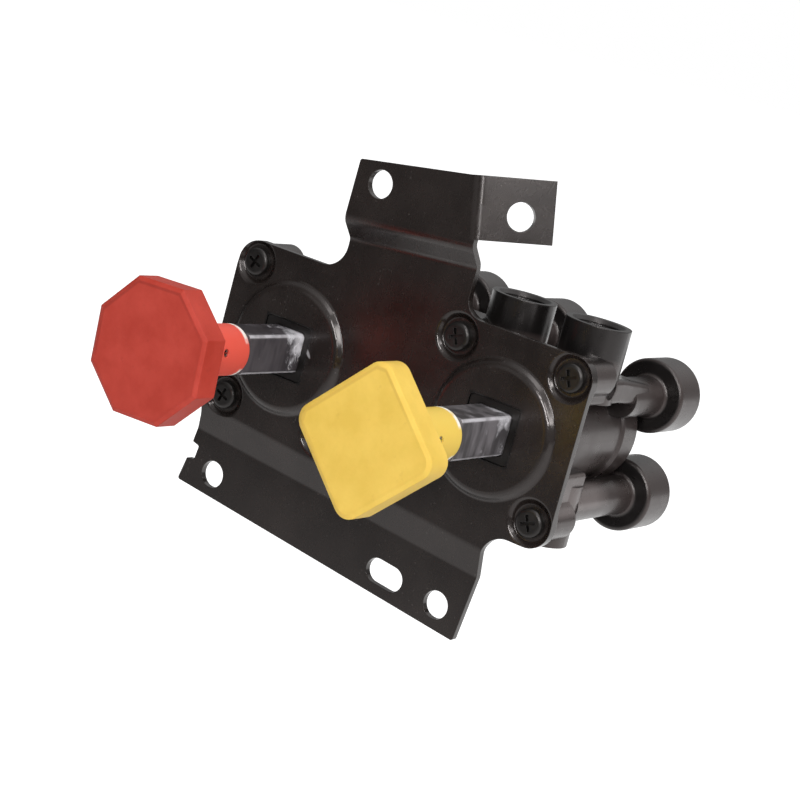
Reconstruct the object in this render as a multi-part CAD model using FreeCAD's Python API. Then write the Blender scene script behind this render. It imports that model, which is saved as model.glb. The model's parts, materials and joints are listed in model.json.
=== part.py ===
import FreeCAD
import Part
import math
import os

# Two-button dash control valve, millimetres.
# X runs to the right from the red button to the yellow one, Y runs back into the dash, Z is up.
# Y = 0 is the front face of the flat field of the cover plate. Both buttons stand pulled out.

# Places shared by several pieces
half_pitch = 40.0
screw_left_x = -60.0
screw_right_x = 60.8
screw_inner_x = 20.0
screw_top_z = 23.2
screw_bottom_z = -22.6
plunger_travel = 12.7
running_gap = 0.05
ring_gap = 0.03
overrun = 1.0
beyond = 100.0

# Cover plate
sheet = 2.3
bend_radius = 2.5
plate_left = -67.3
plate_right = 68.2
plate_top = 30.1
plate_bottom = -30.3
ear_radius = 7.4
corner_fillet = 8.0
neck_left = -26.8
neck_right = 20.5
neck_fillet = 6.0
corner_round = 0.8
field_half_height = 25.0
field_overlap = 10.0
dome_height = 2.0
dome_top_radius = 20.0
dome_foot_radius = 21.9
dome_top_round = 2.5
dome_foot_round = 0.9
dome_pocket_top = 19.0
dome_pocket_foot = 21.2
dome_hole = 18.4
dome_hole_round = 1.6
dome_skirt = 0.6
dome_root = 0.4
dimple_depth = 1.6
dimple_floor = 5.8
dimple_floor_round = 0.8
dimple_mouth = 7.6
dimple_mouth_round = 1.8
dimple_skirt = 0.7
dimple_lift = 0.05
dimple_back_floor = 7.1
dimple_back_mouth = 9.3
plate_screw_hole = 2.75

# Top flange, stepped forward, and its bent tab
top_step = 6.0
top_bend_low = 42.9
top_bend_high = 49.0
top_bend_slope = 5.0
top_flange_left = -26.4
top_flange_left_z = 66.3
fold_top_x = 16.6
fold_top_z = 72.7
fold_bottom_x = 20.7
fold_bottom_z = 53.7
fold_overlap = 3.0
tab_tail = 7.0
tab_length = 24.2
tab_bend = 45.0
tab_hole_from_fold = 13.8
tab_hole_from_edge = 7.9
flange_hole_radius = 4.5
top_hole_x = -17.0
top_hole_z = 60.6

# Bottom flange, stepped back
bottom_step = 2.5
bottom_bend_high = -32.9
bottom_bend_low = -42.2
bottom_bend_slope = -4.2
bottom_right_x = 45.0
bottom_right_z = -67.8
bottom_left_x = -72.2
bottom_left_z = -56.5
right_edge_top_x = 47.6
right_edge_low_x = 47.4
right_edge_low_z = -46.0
notch_low_x = -70.4
notch_low_z = -48.4
notch_low_inner_x = -67.4
notch_low_inner_z = -48.0
notch_high_inner_x = -66.7
notch_high_inner_z = -43.1
notch_high_x = -69.6
notch_high_z = -42.4
notch_outer_round = 0.4
notch_inner_round = 0.6
left_edge_x = -68.0
left_edge_z = -32.0
left_edge_round = 6.0
bottom_hole_left_x = -58.6
bottom_hole_left_z = -50.3
bottom_hole_right_x = 36.1
bottom_hole_right_z = -59.3
slot_x = 15.5
slot_z = -57.4
slot_half_width = 4.1
slot_half_run = 3.0
bottom_row_slope = -5.4

# Cover screws
screw_radius = 2.4
screw_length = 12.6
screw_head_radius = 4.6
screw_head_height = 2.6
screw_head_round = 1.3
screw_tip = 0.8
cross_turn = 22.0
cross_width = 1.1
cross_length = 5.2
cross_depth = 1.5

# Gasket between the plate and the body
gasket_thickness = 1.6
gasket_inner_gap = 0.3
gasket_outer = 24.2
gasket_strap = 9.0
gasket_dimple_gap = 9.7

# Body, outside
body_front = sheet + gasket_thickness
chamber_wall = 3.3
chamber_band = 0.9
chamber_band_start = 50.0
chamber_back = 61.0
chamber_bevel = 1.2
flange_radius = 24.4
flange_back = 7.0
column_radius = 6.2
column_back = 19.5
column_round = 1.6
column_rib = 4.0
column_floor = 2.0
middle_half_width = 24.0
middle_half_height = 14.0
middle_back = 38.0
top_block_half_width = 22.0
top_block_low = 10.0
top_block_high = 27.0
top_block_front = 9.0
top_block_back = 33.0
bar_left = 44.0
bar_right = 64.4
bar_low = 15.0
bar_high = 22.6
bar_back = 30.0
root_left = 52.5
root_right = 63.8
root_low = 13.5
root_high = 20.4
root_back = 50.0
low_block_left = 46.0
low_block_right = 62.6
low_block_low = -23.0
low_block_high = -7.8
low_block_back = 25.5
block_round = 1.5

# Rear ports, each a threaded boss on a narrow neck
port_neck_radius = 6.4
port_boss_radius = 12.2
port_boss_bevel = 0.8
port_boss_round = 1.4
port_foot_round = 1.4
upper_neck_front = 41.5
lower_neck_front = 24.0
inner_neck_front = 31.0
upper_right_x = 58.4
upper_right_z = 14.8
lower_right_x = 57.3
lower_right_z = -19.4
inner_port_x = 16.0
inner_port_z = 22.0
right_boss_front = 62.0
right_boss_back = 77.0
lower_boss_back = 78.5
inner_boss_front = 60.0
inner_boss_back = 75.0
port_bore_radius = 7.4
port_mouth_radius = 8.6
port_mouth_depth = 1.2
port_bore_depth = 13.0
port_passage_radius = 3.2
port_drill_point = 2.4
cross_drill_reach = 1.5
cross_drill_radius = 2.2
upper_drill_y = 45.0
lower_drill_y = 19.8
inner_drill_y = 29.5
inner_rib_radius = 5.4

# Top ports and the gallery that joins them
top_port_radius = 10.4
top_port_y = 22.0
top_port_top = 38.4
top_port_near_bottom = 12.0
top_port_far_bottom = 15.0
top_port_near_x = 27.3
top_port_far_x = 54.3
top_port_bore_depth = 13.5
top_passage_radius = 2.6
gallery_z = 20.0
gallery_outer = 6.2
gallery_bore = 3.2
gallery_bore_start = 24.0
gallery_drop_radius = 2.0
gallery_drop_bottom = 10.0
gallery_middle = 40.9
link_radius = 3.0
link_y = 24.0
link_half_length = 30.0

# Exhaust port underneath
exhaust_x = 53.0
exhaust_y = 22.0
exhaust_bottom = -32.0
exhaust_top = -12.0
exhaust_bore_depth = 8.0
exhaust_passage_x = 48.4
exhaust_passage_radius = 2.2
exhaust_passage_top = -10.0

# Stem
stem_half = 6.6
stem_round = 1.8
shank_radius = 5.0
shank_front = -63.7
stem_shoulder = 7.0
shaft_radius = 4.0
shaft_end = 44.8

# Buttons
knob_back = -60.4
knob_front = -70.0
knob_bevel_width = 1.3
knob_bevel_depth = 0.7
knob_back_bevel = 0.6
octagon_radius = 22.5
square_half = 17.5
square_round = 5.0
face_round = 3.8
back_round = 4.5
collar_radius = 8.1
collar_back = -30.0
collar_round = 1.0
shank_end_gap = 0.3
red_turn = 2.6
pin_turn = 10.0
pin_y = -42.0
pin_radius = 1.25
pin_hole_gap = 0.03
pin_recess = 0.5
pin_core_radius = 0.7
pin_slit = 0.5

# Stem guide
guide_radius = 16.9
guide_hole_round = 1.8
guide_front = 0.35
guide_back = body_front
guide_boss_front = -1.7
guide_boss_gap = 0.2
guide_hole_gap = 0.2

# Piston and its seal
piston_front = 7.0
piston_back = 15.0
piston_radius = 15.42
piston_gap = 0.08
piston_edge = 0.8
piston_groove_depth = 2.52
piston_groove_half = 1.6
piston_seal_section = 1.25
piston_rim = 4.22
piston_recess_depth = 3.0
piston_recess_slope = 1.2
piston_hub_foot = 3.5
piston_hub_top = 3.0

# Spool and its seals
spool_back = 40.0
spool_hub_wall = 1.6
spool_land_start = 25.0
spool_edge = 0.6
spool_waist_start = 30.6
spool_waist_end = 34.4
spool_groove_depth = 1.9
spool_groove_half = 1.2
spool_groove_first = 28.0
spool_groove_second = 37.2
spool_seal_section = 0.95

# Nut on the end of the stem
nut_back = 44.0
nut_flats = 11.0

# Sleeve and its seals
spring_room = 8.5
sleeve_flange_front = piston_back + plunger_travel + spring_room
sleeve_flange = 1.8
sleeve_flange_gap = 0.1
sleeve_back = 52.0
sleeve_inner = 7.0
sleeve_wall = 3.95
sleeve_groove_depth = 1.75
sleeve_groove_half = 1.1
sleeve_groove_first = 40.5
sleeve_groove_second = 49.5
sleeve_seal_section = 0.87
sleeve_window_radius = 1.6
sleeve_window_y = 45.0

# Spring
spring_wall_gap = 1.4
spring_wire_radius = 0.7
spring_end_gap = 0.02
spring_half_turns = 9

# Bores of the two chambers
front_bore = piston_radius + piston_gap
spring_mean_radius = front_bore - spring_wall_gap - spring_wire_radius
front_bore_end = sleeve_flange_front + sleeve_flange
rear_bore = sleeve_inner + sleeve_wall + running_gap
rear_bore_room = 2.3
rear_bore_end = nut_back + plunger_travel + rear_bore_room
chamber_radius = front_bore + chamber_wall

# Shuttle between the two supply ports
shuttle_radius = 3.1
shuttle_thickness = 3.4
shuttle_groove_half = 0.4
shuttle_groove_depth = 0.6
shuttle_seat_radius = 3.17
shuttle_seat_hole = 1.8
shuttle_seat_thickness = 2.0
shuttle_room = 7.4
plug_front = 59.0
plug_end = 63.2
plug_radius = 3.15
plug_socket_flats = 3.0
plug_socket_depth = 2.2
plug_groove_depth = 0.9
plug_groove_half = 0.6
plug_groove_x = 60.1
plug_seal_section = 0.44


# Small helpers
def vec(x, y, z):
    return FreeCAD.Vector(x, y, z)


def box(x_from, x_to, y_from, y_to, z_from, z_to):
    return Part.makeBox(x_to - x_from, y_to - y_from, z_to - z_from, vec(x_from, y_from, z_from))


def soft_box(x_from, x_to, y_from, y_to, z_from, z_to):
    block = box(x_from, x_to, y_from, y_to, z_from, z_to)
    long_edges = [edge for edge in block.Edges if abs(edge.tangentAt(0).y) > 0.9]
    return block.makeFillet(block_round, long_edges)


def rod_y(x, z, radius, y_from, y_to):
    return Part.makeCylinder(radius, y_to - y_from, vec(x, y_from, z), vec(0, 1, 0))


def rod_x(y, z, radius, x_from, x_to):
    return Part.makeCylinder(radius, x_to - x_from, vec(x_from, y, z), vec(1, 0, 0))


def rod_z(x, y, radius, z_from, z_to):
    return Part.makeCylinder(radius, z_to - z_from, vec(x, y, z_from), vec(0, 0, 1))


def rod_between(start, end, radius):
    run = end.sub(start)
    return Part.makeCylinder(radius, run.Length, start, run)


def cone_y(x, z, radius_from, radius_to, y_from, y_to):
    return Part.makeCone(radius_from, radius_to, y_to - y_from, vec(x, y_from, z), vec(0, 1, 0))


def cone_z(x, y, radius_from, radius_to, z_from, z_to):
    return Part.makeCone(radius_from, radius_to, z_to - z_from, vec(x, y, z_from), vec(0, 0, 1))


def ring_y(x, z, mean_radius, section_radius, y):
    return Part.makeTorus(mean_radius, section_radius, vec(x, y, z), vec(0, 1, 0))


def rounded_edges(corners, place):
    """Edges of a closed outline. Each corner is (u, v, radius); place turns (u, v) into a point."""
    count = len(corners)
    starts = []
    ends = []
    arcs = []
    for index in range(count):
        u, v, radius = corners[index]
        here = vec(u, v, 0)
        before = vec(corners[index - 1][0], corners[index - 1][1], 0)
        after = vec(corners[(index + 1) % count][0], corners[(index + 1) % count][1], 0)
        way_in = here.sub(before).normalize()
        way_out = after.sub(here).normalize()
        turn = way_in.getAngle(way_out)
        if radius <= 0 or turn < 0.001:
            starts.append(here)
            ends.append(here)
            arcs.append(None)
            continue
        reach = radius * math.tan(turn / 2)
        first = here.sub(vec(way_in.x, way_in.y, 0).multiply(reach))
        last = here.add(vec(way_out.x, way_out.y, 0).multiply(reach))
        inward = way_out.sub(way_in).normalize()
        middle = here.add(inward.multiply(radius / math.cos(turn / 2) - radius))
        starts.append(first)
        ends.append(last)
        arcs.append(middle)
    edges = []
    for index in range(count):
        if arcs[index] is not None:
            arc = Part.Arc(place(starts[index]), place(arcs[index]), place(ends[index]))
            edges.append(arc.toShape())
        follow = (index + 1) % count
        if ends[index].distanceToPoint(starts[follow]) > 0.0001:
            edges.append(Part.makeLine(place(ends[index]), place(starts[follow])))
    return edges


def outline_face(corners, place):
    return Part.Face(Part.Wire(rounded_edges(corners, place)))


def in_xz(y):
    return lambda point: vec(point.x, y, point.y)


def in_yz(point):
    return vec(0, point.y, point.x)


def in_xy(point):
    return vec(point.x, point.y, 0)


def turned(corners, x, angle):
    """Corners round the point (x, 0), turned from +X towards +Z."""
    swing = math.radians(angle)
    out = []
    for u, v, radius in corners:
        across = u * math.cos(swing) - v * math.sin(swing)
        upward = u * math.sin(swing) + v * math.cos(swing)
        out.append((x + across, upward, radius))
    return out


def square_corners(half, radius):
    return [(half, half, radius), (-half, half, radius), (-half, -half, radius), (half, -half, radius)]


def four_corners(left, right, low, high, radius):
    return [(right, high, radius), (left, high, radius), (left, low, radius), (right, low, radius)]


def octagon_corners(radius):
    out = []
    for index in range(8):
        angle = math.radians(22.5 + 45 * index)
        out.append((radius * math.cos(angle), radius * math.sin(angle), 0))
    return out


def prism_y(corners, y_from, y_to):
    return outline_face(corners, in_xz(y_from)).extrude(vec(0, y_to - y_from, 0))


def taper_y(corners_from, corners_to, y_from, y_to):
    first = Part.Wire(rounded_edges(corners_from, in_xz(y_from)))
    second = Part.Wire(rounded_edges(corners_to, in_xz(y_to)))
    return Part.makeLoft([first, second], True, True)


def spun_y(points, x, z):
    """Solid of revolution round the line through (x, z) along Y; points are (radius, y, rounding)."""
    edges = rounded_edges(points, lambda point: vec(x + point.x, point.y, z))
    return Part.Face(Part.Wire(edges)).revolve(vec(x, 0, z), vec(0, 1, 0), 360)


def sheet_face(path, side, front_outer, place):
    """Bent strip of sheet. The path is its front face; side (+1 or -1) says where the metal lies."""
    ways = []
    for index in range(len(path) - 1):
        run = vec(path[index + 1][0] - path[index][0], path[index + 1][1] - path[index][1], 0)
        ways.append(run.normalize())
    front = []
    back = []
    for index in range(len(path)):
        here = vec(path[index][0], path[index][1], 0)
        way_in = ways[max(index - 1, 0)]
        way_out = ways[min(index, len(ways) - 1)]
        normal_in = vec(-way_in.y * side, way_in.x * side, 0)
        normal_out = vec(-way_out.y * side, way_out.x * side, 0)
        shift = normal_in.add(normal_out).multiply(sheet / (1 + normal_in.dot(normal_out)))
        behind = here.add(shift)
        front_radius = 0
        back_radius = 0
        if 0 < index < len(path) - 1:
            outer = front_outer[index - 1]
            front_radius = bend_radius + sheet if outer else bend_radius
            back_radius = bend_radius if outer else bend_radius + sheet
        front.append((here.x, here.y, front_radius))
        back.append((behind.x, behind.y, back_radius))
    return outline_face(front + back[::-1], place)


def tilt(shape, angle):
    """Turns a shape round the Y axis so that +X rises towards +Z."""
    shape.rotate(vec(0, 0, 0), vec(0, -1, 0), angle)
    return shape


def slot_y(x, z, half_run, radius, angle, y_from, y_to):
    swing = math.radians(angle)
    dx = half_run * math.cos(swing)
    dz = half_run * math.sin(swing)
    bar = box(-half_run, half_run, y_from, y_to, -radius, radius)
    bar = tilt(bar, angle)
    bar.translate(vec(x, 0, z))
    first = rod_y(x - dx, z - dz, radius, y_from, y_to)
    last = rod_y(x + dx, z + dz, radius, y_from, y_to)
    return bar.fuse([first, last])


def save(name, shape):
    shape.exportStep("parts/" + name + ".step")
    print(name, len(shape.Solids), shape.isValid(), round(shape.Volume, 1))


screw_places = [
    (screw_left_x, screw_top_z),
    (screw_inner_x, screw_top_z),
    (screw_right_x, screw_top_z),
    (screw_left_x, screw_bottom_z),
    (-screw_inner_x, screw_bottom_z),
    (screw_right_x, screw_bottom_z),
]


# Cover plate: flat field, two stepped flanges, a bent tab, two domes and six dimples
def cover_plate():
    fold_way = math.atan2(fold_bottom_x - fold_top_x, fold_top_z - fold_bottom_z)
    back_x = fold_overlap * math.cos(fold_way)
    back_z = fold_overlap * math.sin(fold_way)
    outline = [
        (plate_left, plate_top, ear_radius),
        (neck_left, plate_top, corner_fillet),
        (neck_left, top_bend_high, 0),
        (top_flange_left, top_flange_left_z, corner_round),
        (fold_top_x - back_x, fold_top_z - back_z, 0),
        (fold_bottom_x - back_x, fold_bottom_z - back_z, 0),
        (neck_right, fold_bottom_z - ring_gap, 0),
        (neck_right, plate_top, neck_fillet),
        (plate_right, plate_top, ear_radius),
        (plate_right, plate_bottom, ear_radius),
        (right_edge_top_x, plate_bottom, corner_fillet),
        (right_edge_low_x, right_edge_low_z, 0),
        (bottom_right_x, bottom_right_z, corner_round),
        (bottom_left_x, bottom_left_z, corner_round),
        (notch_low_x, notch_low_z, notch_outer_round),
        (notch_low_inner_x, notch_low_inner_z, notch_inner_round),
        (notch_high_inner_x, notch_high_inner_z, notch_inner_round),
        (notch_high_x, notch_high_z, notch_outer_round),
        (left_edge_x, left_edge_z, left_edge_round),
    ]
    cutter = prism_y(outline, -beyond, beyond)
    field = box(-beyond, beyond, 0, sheet, -field_half_height, field_half_height)
    join = field_half_height - field_overlap
    upper_path = [(join, 0), (top_bend_low, 0), (top_bend_high, -top_step), (beyond, -top_step)]
    upper = sheet_face(upper_path, 1, [False, True], in_yz).extrude(vec(2 * beyond, 0, 0))
    upper.translate(vec(-beyond, 0, 0))
    upper = tilt(upper, top_bend_slope)
    lower_path = [(-join, 0), (bottom_bend_high, 0), (bottom_bend_low, bottom_step), (-beyond, bottom_step)]
    lower = sheet_face(lower_path, -1, [True, False], in_yz).extrude(vec(2 * beyond, 0, 0))
    lower.translate(vec(-beyond, 0, 0))
    lower = tilt(lower, bottom_bend_slope)
    plate = field.fuse([upper, lower]).common(cutter)

    swing = math.radians(tab_bend)
    tab_end = (tab_length * math.cos(swing), tab_length * math.sin(swing) - top_step)
    tab_path = [(-tab_tail, -top_step), (0, -top_step), tab_end]
    tab_width = math.hypot(fold_top_x - fold_bottom_x, fold_top_z - fold_bottom_z)
    tab = sheet_face(tab_path, 1, [True], in_xy).extrude(vec(0, 0, tab_width))
    drill_way = vec(math.sin(swing), -math.cos(swing), 0)
    hole = Part.makeCylinder(flange_hole_radius, 4 * sheet, vec(0, 0, 0), drill_way)
    hole_x = tab_hole_from_fold * math.cos(swing) - 2 * sheet * math.sin(swing)
    hole_y = tab_hole_from_fold * math.sin(swing) - top_step + 2 * sheet * math.cos(swing)
    hole.translate(vec(hole_x, hole_y, tab_hole_from_edge))
    tab = tilt(tab.cut(hole), math.degrees(fold_way))
    tab.translate(vec(fold_bottom_x, 0, fold_bottom_z))
    plate = plate.fuse(tab)

    bosses = []
    pockets = []
    for side in (-1, 1):
        x = side * half_pitch
        dome = [
            (0, -dome_height, 0),
            (dome_top_radius, -dome_height, dome_top_round),
            (dome_foot_radius, 0, dome_foot_round),
            (dome_foot_radius + dome_skirt, 0, 0),
            (dome_foot_radius + dome_skirt, dome_root, 0),
            (0, dome_root, 0),
        ]
        bosses.append(spun_y(dome, x, 0))
        pockets.append(cone_y(x, 0, dome_pocket_top, dome_pocket_foot, sheet - dome_height, sheet))
        hole_corners = turned(square_corners(dome_hole / 2, dome_hole_round), x, 0)
        pockets.append(prism_y(hole_corners, -dome_height - overrun, sheet + overrun))
    dimple = [
        (0, -overrun, 0),
        (dimple_mouth + dimple_skirt, -overrun, 0),
        (dimple_mouth + dimple_skirt, -dimple_lift, 0),
        (dimple_mouth, 0, dimple_mouth_round),
        (dimple_floor, dimple_depth, dimple_floor_round),
        (0, dimple_depth, 0),
    ]
    for x, z in screw_places:
        back = cone_y(x, z, dimple_back_mouth, dimple_back_floor, sheet, sheet + dimple_depth)
        bosses.append(back.common(cutter))
        pockets.append(spun_y(dimple, x, z))
        pockets.append(rod_y(x, z, plate_screw_hole, -overrun, sheet + dimple_depth + overrun))
    step_back = bottom_step + sheet + overrun
    pockets.append(rod_y(top_hole_x, top_hole_z, flange_hole_radius, -top_step - overrun, sheet))
    pockets.append(rod_y(bottom_hole_left_x, bottom_hole_left_z, flange_hole_radius, 0, step_back))
    pockets.append(rod_y(bottom_hole_right_x, bottom_hole_right_z, flange_hole_radius, 0, step_back))
    pockets.append(slot_y(slot_x, slot_z, slot_half_run, slot_half_width, bottom_row_slope, 0, step_back))
    plate = plate.fuse(bosses)
    for pocket in pockets:
        plate = plate.cut(pocket)
    return plate.removeSplitter()


# Six pan-head screws with a cross recess
def cover_screws():
    screws = []
    seat = dimple_depth
    for x, z in screw_places:
        head = [
            (0, seat - screw_head_height, 0),
            (screw_head_radius, seat - screw_head_height, screw_head_round),
            (screw_head_radius, seat, 0),
            (screw_radius, seat, 0),
            (screw_radius, seat + screw_length - screw_tip, 0),
            (screw_radius - screw_tip, seat + screw_length, 0),
            (0, seat + screw_length, 0),
        ]
        screw = spun_y(head, x, z)
        top = seat - screw_head_height
        for angle in (0, 90):
            half_length = cross_length / 2
            half_width = cross_width / 2
            bar = box(-half_length, half_length, top - overrun, top + cross_depth, -half_width, half_width)
            bar = tilt(bar, angle + (cross_turn if x > 0 else -cross_turn))
            bar.translate(vec(x, 0, z))
            screw = screw.cut(bar)
        screws.append(screw)
    return Part.makeCompound(screws)


# Gasket: two rings and a strap, cut clear of the dimples
def cover_gasket():
    rings = []
    holes = []
    for side in (-1, 1):
        rings.append(rod_y(side * half_pitch, 0, gasket_outer, sheet, body_front))
        inner = guide_radius + gasket_inner_gap
        holes.append(rod_y(side * half_pitch, 0, inner, sheet - overrun, body_front + overrun))
    strap = box(-half_pitch, half_pitch, sheet, body_front, -gasket_strap, gasket_strap)
    for x, z in screw_places:
        holes.append(rod_y(x, z, gasket_dimple_gap, sheet - overrun, body_front + overrun))
    return strap.fuse(rings).cut(holes)


# Body casting
def rear_port(x, z, neck_front, front, back):
    bevel = port_boss_bevel
    port = [
        (0, neck_front, 0),
        (port_neck_radius, neck_front, 0),
        (port_neck_radius, front, port_foot_round),
        (port_boss_radius, front, port_boss_round),
        (port_boss_radius, back - bevel, 0),
        (port_boss_radius - bevel, back, 0),
        (0, back, 0),
    ]
    return spun_y(port, x, z)


def rear_bores(x, z, back, chamber_x, bore, drill_y):
    floor = back - port_bore_depth
    chamber_point = vec(chamber_x, drill_y, 0)
    port_point = vec(x, drill_y, z)
    away = port_point.sub(chamber_point).normalize()
    inside = chamber_point.add(away.multiply(bore - cross_drill_reach))
    return [
        rod_y(x, z, port_bore_radius, floor, back + overrun),
        cone_y(x, z, port_bore_radius, port_mouth_radius, back - port_mouth_depth, back),
        cone_y(x, z, port_passage_radius, port_bore_radius, floor - port_drill_point, floor),
        rod_y(x, z, port_passage_radius, drill_y, floor),
        rod_between(inside, port_point, cross_drill_radius),
    ]


def column_with_rib(x, z):
    column = [
        (0, body_front, 0),
        (column_radius, body_front, 0),
        (column_radius, column_back, column_round),
        (0, column_back, 0),
    ]
    centre_x = half_pitch if x > 0 else -half_pitch
    run = math.hypot(x - centre_x, z)
    angle = math.degrees(math.atan2(z, x - centre_x))
    rib = box(0, run, body_front, column_back - column_floor, -column_rib / 2, column_rib / 2)
    rib = tilt(rib, angle)
    rib.translate(vec(centre_x, 0, 0))
    return [spun_y(column, x, z), rib]


def chambers():
    lumps = []
    holes = []
    band_radius = chamber_radius + chamber_band
    for x in (-half_pitch, half_pitch):
        chamber = [
            (0, body_front, 0),
            (chamber_radius, body_front, 0),
            (chamber_radius, chamber_band_start, 0),
            (band_radius, chamber_band_start + chamber_band, 0),
            (band_radius, chamber_back - chamber_bevel, 0),
            (band_radius - chamber_bevel, chamber_back, 0),
            (0, chamber_back, 0),
        ]
        bore = [
            (0, body_front - overrun, 0),
            (front_bore, body_front - overrun, 0),
            (front_bore, front_bore_end, 0),
            (rear_bore, front_bore_end, 0),
            (rear_bore, rear_bore_end, 0),
            (0, rear_bore_end, 0),
        ]
        lumps.append(spun_y(chamber, x, 0))
        lumps.append(rod_y(x, 0, flange_radius, body_front, flange_back))
        holes.append(spun_y(bore, x, 0))
    return lumps, holes


def columns_and_blocks():
    lumps = []
    holes = []
    for x, z in screw_places:
        lumps.extend(column_with_rib(x, z))
        hole_end = column_back - column_floor
        holes.append(rod_y(x, z, screw_radius + running_gap, body_front - overrun, hole_end))
    middle = middle_half_width
    half_height = middle_half_height
    top = top_block_half_width
    lumps.append(soft_box(-middle, middle, body_front, middle_back, -half_height, half_height))
    lumps.append(soft_box(-top, top, top_block_front, top_block_back, top_block_low, top_block_high))
    lumps.append(soft_box(bar_left, bar_right, body_front, bar_back, bar_low, bar_high))
    root_from = four_corners(bar_left, bar_right, bar_low, bar_high, block_round)
    root_to = four_corners(root_left, root_right, root_low, root_high, block_round)
    lumps.append(taper_y(root_from, root_to, bar_back, root_back))
    low_left = low_block_left
    low_right = low_block_right
    lumps.append(soft_box(low_left, low_right, body_front, low_block_back, low_block_low, low_block_high))
    return lumps, holes


def rear_ports():
    lumps = []
    holes = []
    inner_x = inner_port_x
    inner_z = inner_port_z
    inner_ends = (inner_neck_front, inner_boss_front, inner_boss_back)
    upper_ends = (upper_neck_front, right_boss_front, right_boss_back)
    lower_ends = (lower_neck_front, right_boss_front, lower_boss_back)
    for x, z, ends, chamber_x, bore, drill_y in (
        (upper_right_x, upper_right_z, upper_ends, half_pitch, rear_bore, upper_drill_y),
        (lower_right_x, lower_right_z, lower_ends, half_pitch, front_bore, lower_drill_y),
        (inner_x, inner_z, inner_ends, half_pitch, front_bore, inner_drill_y),
        (-inner_x, inner_z, inner_ends, -half_pitch, front_bore, inner_drill_y),
    ):
        neck_front, front, back = ends
        lumps.append(rear_port(x, z, neck_front, front, back))
        holes.extend(rear_bores(x, z, back, chamber_x, bore, drill_y))
    for side in (-1, 1):
        port_point = vec(side * inner_x, inner_drill_y, inner_z)
        chamber_point = vec(side * half_pitch, inner_drill_y, 0)
        lumps.append(rod_between(port_point, chamber_point, inner_rib_radius))
    return lumps, holes


def top_ports():
    lumps = []
    holes = []
    y = top_port_y
    floor = top_port_top - top_port_bore_depth
    mouth = top_port_top - port_mouth_depth
    for x, bottom in ((top_port_near_x, top_port_near_bottom), (top_port_far_x, top_port_far_bottom)):
        lumps.append(rod_z(x, y, top_port_radius, bottom, top_port_top))
        holes.append(rod_z(x, y, port_bore_radius, floor, top_port_top + overrun))
        holes.append(cone_z(x, y, port_bore_radius, port_mouth_radius, mouth, top_port_top))
        holes.append(rod_z(x, y, top_passage_radius, gallery_z, floor + overrun))
    lumps.append(rod_x(y, gallery_z, gallery_outer, top_port_near_x, top_port_far_x))
    holes.append(rod_x(y, gallery_z, gallery_bore, gallery_bore_start, beyond))
    holes.append(rod_z(gallery_middle, y, gallery_drop_radius, gallery_drop_bottom, gallery_z))
    return lumps, holes


def exhaust_port():
    x = exhaust_x
    y = exhaust_y
    bottom = exhaust_bottom
    floor = bottom + exhaust_bore_depth
    lump = rod_z(x, y, top_port_radius, bottom, exhaust_top)
    holes = [
        rod_z(x, y, port_bore_radius, bottom - overrun, floor),
        cone_z(x, y, port_mouth_radius, port_bore_radius, bottom, bottom + port_mouth_depth),
        rod_z(exhaust_passage_x, y, exhaust_passage_radius, floor - overrun, exhaust_passage_top),
    ]
    return [lump], holes


def valve_body():
    lumps = []
    holes = [rod_x(link_y, 0, link_radius, -link_half_length, link_half_length)]
    for add in (chambers, columns_and_blocks, rear_ports, top_ports, exhaust_port):
        more_lumps, more_holes = add()
        lumps.extend(more_lumps)
        holes.extend(more_holes)
    whole = lumps[0]
    for lump in lumps[1:]:
        whole = whole.fuse(lump)
    for hole in holes:
        whole = whole.cut(hole)
    return whole


# Buttons and what moves with them
def knob(x, corners_full, corners_face, corners_back, turn):
    bevel_end = knob_front + knob_bevel_depth
    back_start = knob_back - knob_back_bevel
    face = turned(corners_face, x, turn)
    full = turned(corners_full, x, turn)
    behind = turned(corners_back, x, turn)
    block = prism_y(full, bevel_end, back_start)
    front = taper_y(face, full, knob_front, bevel_end)
    rear = taper_y(full, behind, back_start, knob_back)
    collar = [
        (0, knob_back - overrun, 0),
        (collar_radius, knob_back - overrun, 0),
        (collar_radius, collar_back, collar_round),
        (0, collar_back, 0),
    ]
    body = block.fuse([front, rear, spun_y(collar, x, 0)])
    socket_end = shank_front - shank_end_gap
    socket = rod_y(x, 0, shank_radius + running_gap, socket_end, collar_back + overrun)
    return body.cut([socket, pin_hole(x)])


def pin_hole(x):
    half = collar_radius + overrun
    rod = tilt(rod_x(pin_y, 0, pin_radius + pin_hole_gap, -half, half), pin_turn)
    rod.translate(vec(x, 0, 0))
    return rod


def knob_pin(x):
    half = collar_radius - pin_recess
    past = half + overrun
    pin = rod_x(pin_y, 0, pin_radius, -half, half)
    core = rod_x(pin_y, 0, pin_core_radius, -past, past)
    slit = box(-past, past, pin_y, pin_y + pin_radius + overrun, -pin_slit / 2, pin_slit / 2)
    pin = tilt(pin.cut([core, slit]), pin_turn)
    pin.translate(vec(x, 0, 0))
    return pin


def stem(x):
    bar = prism_y(turned(square_corners(stem_half, stem_round), x, 0), collar_back, stem_shoulder)
    shank = rod_y(x, 0, shank_radius, shank_front, collar_back + overrun)
    shaft = rod_y(x, 0, shaft_radius, stem_shoulder - overrun, shaft_end)
    return bar.fuse([shank, shaft]).cut(pin_hole(x))


def stem_guide(x):
    disc = rod_y(x, 0, guide_radius, guide_front, guide_back)
    boss_half = dome_hole / 2 - guide_boss_gap
    boss_corners = turned(square_corners(boss_half, dome_hole_round - guide_boss_gap), x, 0)
    boss = prism_y(boss_corners, guide_boss_front, guide_back)
    hole_corners = turned(square_corners(stem_half + guide_hole_gap, guide_hole_round), x, 0)
    hole = prism_y(hole_corners, guide_boss_front - overrun, guide_back + overrun)
    return disc.fuse(boss).cut(hole)


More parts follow.
